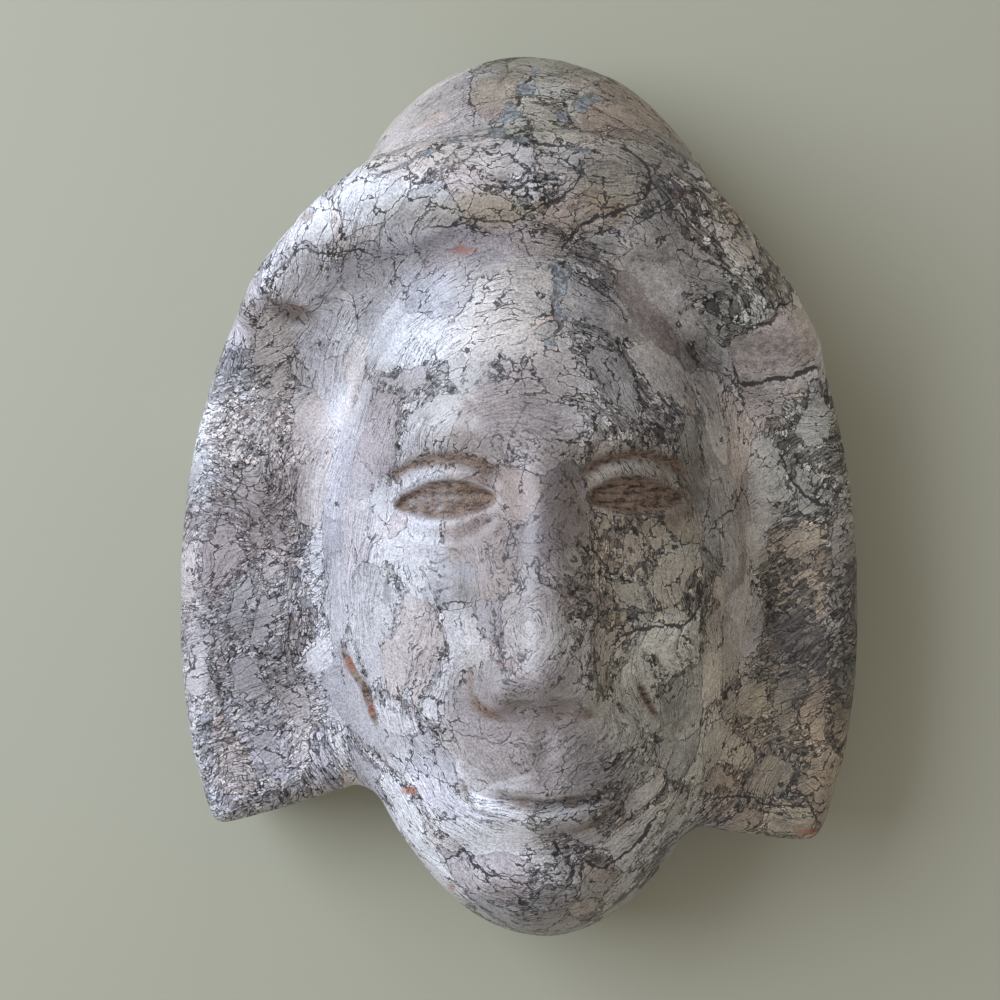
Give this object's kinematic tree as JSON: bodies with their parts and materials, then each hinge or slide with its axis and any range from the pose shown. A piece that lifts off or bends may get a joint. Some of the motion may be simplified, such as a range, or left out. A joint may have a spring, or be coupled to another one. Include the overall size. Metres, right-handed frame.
{
  "type": "stone mask",
  "caption": "Carved stone mask of a calm head with a domed cap, a rolled brim over the forehead and flat lobes of hair, lying on its flat back.",
  "frame": {"origin": "middle of the flat back, on the surface that the mask lies on", "axes": "+Z out of the face, +Y towards the crown, +X to the right of someone looking down at the face"},
  "size_m": [0.1672, 0.2196, 0.0841],
  "materials": {
    "stone": "satin"
  },
  "bodies": {
    "root": {"mask": "stone"}
  },
  "joints": []
}
